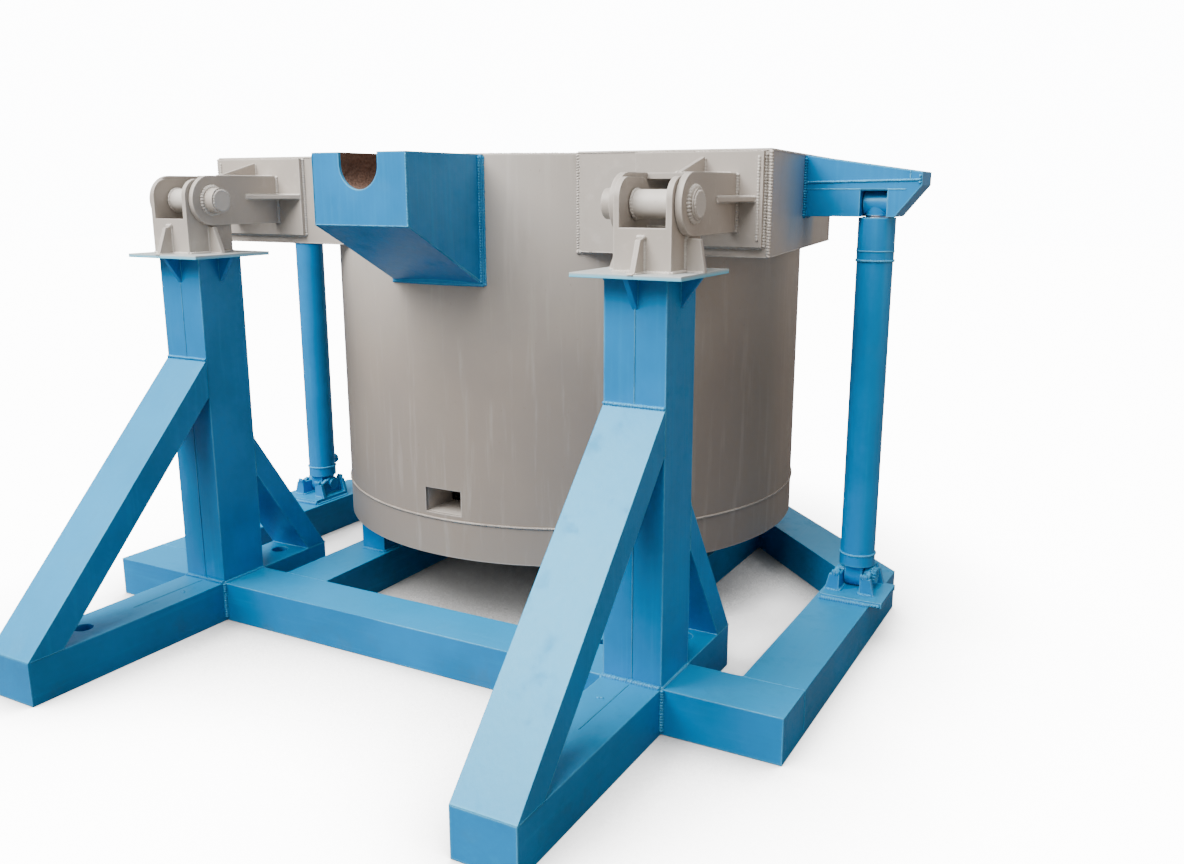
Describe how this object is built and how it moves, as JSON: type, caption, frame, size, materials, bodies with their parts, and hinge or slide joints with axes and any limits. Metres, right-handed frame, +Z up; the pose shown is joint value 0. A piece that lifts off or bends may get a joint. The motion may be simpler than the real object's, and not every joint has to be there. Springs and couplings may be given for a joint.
{
  "type": "tilting crucible furnace",
  "caption": "Steel-shelled induction crucible furnace that tilts forward on front trunnions, lifted by hydraulic rams on a welded box-beam frame.",
  "frame": {"origin": "on the floor, under the middle of the machine's bounding box", "axes": "+Z up, the spout faces -Y, +X is the right-hand side seen from the spout's side"},
  "size_m": [2.964, 3.0178, 1.746],
  "materials": {
    "blue_paint": "brushed-on gloss enamel, worn",
    "grey_paint": "satin enamel",
    "pale_grey_paint": "satin enamel with overspray",
    "bronze": "machined",
    "pin_steel": "turned",
    "chrome_plate": "hard chrome",
    "copper": "bare",
    "yoke_steel": "varnished laminations",
    "refractory": "rammed refractory"
  },
  "bodies": {
    "base": {"foot_bracket_left": "blue_paint", "foot_bracket_right": "blue_paint", "foot_pins": "pin_steel", "front_brace_left": "blue_paint", "front_brace_right": "blue_paint", "front_cross_beam": "blue_paint", "front_foot_left": "blue_paint", "front_foot_right": "blue_paint", "inner_rail_left": "blue_paint", "inner_rail_right": "blue_paint", "outer_rail_left": "blue_paint", "outer_rail_right": "blue_paint", "pedestal_left": "grey_paint", "pedestal_right": "grey_paint", "post_cap_left": "pale_grey_paint", "post_cap_right": "pale_grey_paint", "post_left": "blue_paint", "post_right": "blue_paint", "rear_brace_left": "blue_paint", "rear_brace_right": "blue_paint", "rear_cross_beam": "blue_paint", "rear_diagonal_left": "blue_paint", "rear_diagonal_right": "blue_paint", "rear_foot_left": "blue_paint", "rear_foot_right": "blue_paint", "rest_blocks": "blue_paint", "trunnion_bushes": "bronze"},
    "furnace": {"furnace_shell": "grey_paint", "shell_base": "grey_paint", "window_frame": "grey_paint", "top_cover": "grey_paint", "wing_box_left": "grey_paint", "wing_box_right": "grey_paint", "trunnion_plates": "grey_paint", "trunnion_arm_inner_left": "grey_paint", "trunnion_arm_inner_right": "grey_paint", "trunnion_arm_outer_left": "grey_paint", "trunnion_arm_outer_right": "grey_paint", "arm_bracing_left": "grey_paint", "arm_bracing_right": "grey_paint", "trunnion_pins": "grey_paint", "spout_shell": "blue_paint", "spout_lining": "refractory", "top_ring": "refractory", "crucible_lining": "refractory", "coil_grout": "refractory", "induction_coil": "copper", "magnetic_yokes": "yoke_steel", "bottom_block": "refractory", "lift_arm_left": "blue_paint", "lift_arm_right": "blue_paint", "lift_pins": "pin_steel"},
    "barrel_left": {"barrel_left": "blue_paint"},
    "sleeve_left": {"sleeve_left": "chrome_plate"},
    "rod_left": {"rod_left": "chrome_plate"},
    "rod_end_left": {"rod_end_left": "blue_paint"},
    "barrel_right": {"barrel_right": "blue_paint"},
    "sleeve_right": {"sleeve_right": "chrome_plate"},
    "rod_right": {"rod_right": "chrome_plate"},
    "rod_end_right": {"rod_end_right": "blue_paint"}
  },
  "joints": [
    {"name": "furnace_tilt", "type": "hinge", "parent": "base", "child": "furnace", "pos_m": [0, -0.604, 1.585], "axis": [1, 0, 0], "range_deg": [0, 90]},
    {"name": "cylinder_swing_left", "type": "hinge", "parent": "base", "child": "barrel_left", "pos_m": [-1.322, 0.396, 0.216], "axis": [1, 0, 0], "range_deg": [0, 22.79]},
    {"name": "sleeve_slide_left", "type": "slide", "parent": "barrel_left", "child": "sleeve_left", "axis": [0, 0, 1], "range_m": [0, 0.6038]},
    {"name": "rod_slide_left", "type": "slide", "parent": "sleeve_left", "child": "rod_left", "axis": [0, 0, 1], "range_m": [0, 0.6038]},
    {"name": "rod_end_swing_left", "type": "hinge", "parent": "furnace", "child": "rod_end_left", "pos_m": [-1.322, 0.396, 1.578], "axis": [1, 0, 0], "range_deg": [-67.31, 0]},
    {"name": "cylinder_swing_right", "type": "hinge", "parent": "base", "child": "barrel_right", "pos_m": [1.322, 0.396, 0.216], "axis": [1, 0, 0], "range_deg": [0, 22.79]},
    {"name": "sleeve_slide_right", "type": "slide", "parent": "barrel_right", "child": "sleeve_right", "axis": [0, 0, 1], "range_m": [0, 0.6038]},
    {"name": "rod_slide_right", "type": "slide", "parent": "sleeve_right", "child": "rod_right", "axis": [0, 0, 1], "range_m": [0, 0.6038]},
    {"name": "rod_end_swing_right", "type": "hinge", "parent": "furnace", "child": "rod_end_right", "pos_m": [1.322, 0.396, 1.578], "axis": [1, 0, 0], "range_deg": [-67.31, 0]}
  ],
  "couplings": [
    {"joint": "cylinder_swing_left", "follows": "furnace_tilt", "ratio": 0.25268},
    {"joint": "sleeve_slide_left", "follows": "furnace_tilt", "m_per_rad": 0.38409},
    {"joint": "rod_slide_left", "follows": "furnace_tilt", "m_per_rad": 0.38409},
    {"joint": "rod_end_swing_left", "follows": "furnace_tilt", "ratio": -0.74731},
    {"joint": "cylinder_swing_right", "follows": "furnace_tilt", "ratio": 0.25268},
    {"joint": "sleeve_slide_right", "follows": "furnace_tilt", "m_per_rad": 0.38409},
    {"joint": "rod_slide_right", "follows": "furnace_tilt", "m_per_rad": 0.38409},
    {"joint": "rod_end_swing_right", "follows": "furnace_tilt", "ratio": -0.74731}
  ]
}
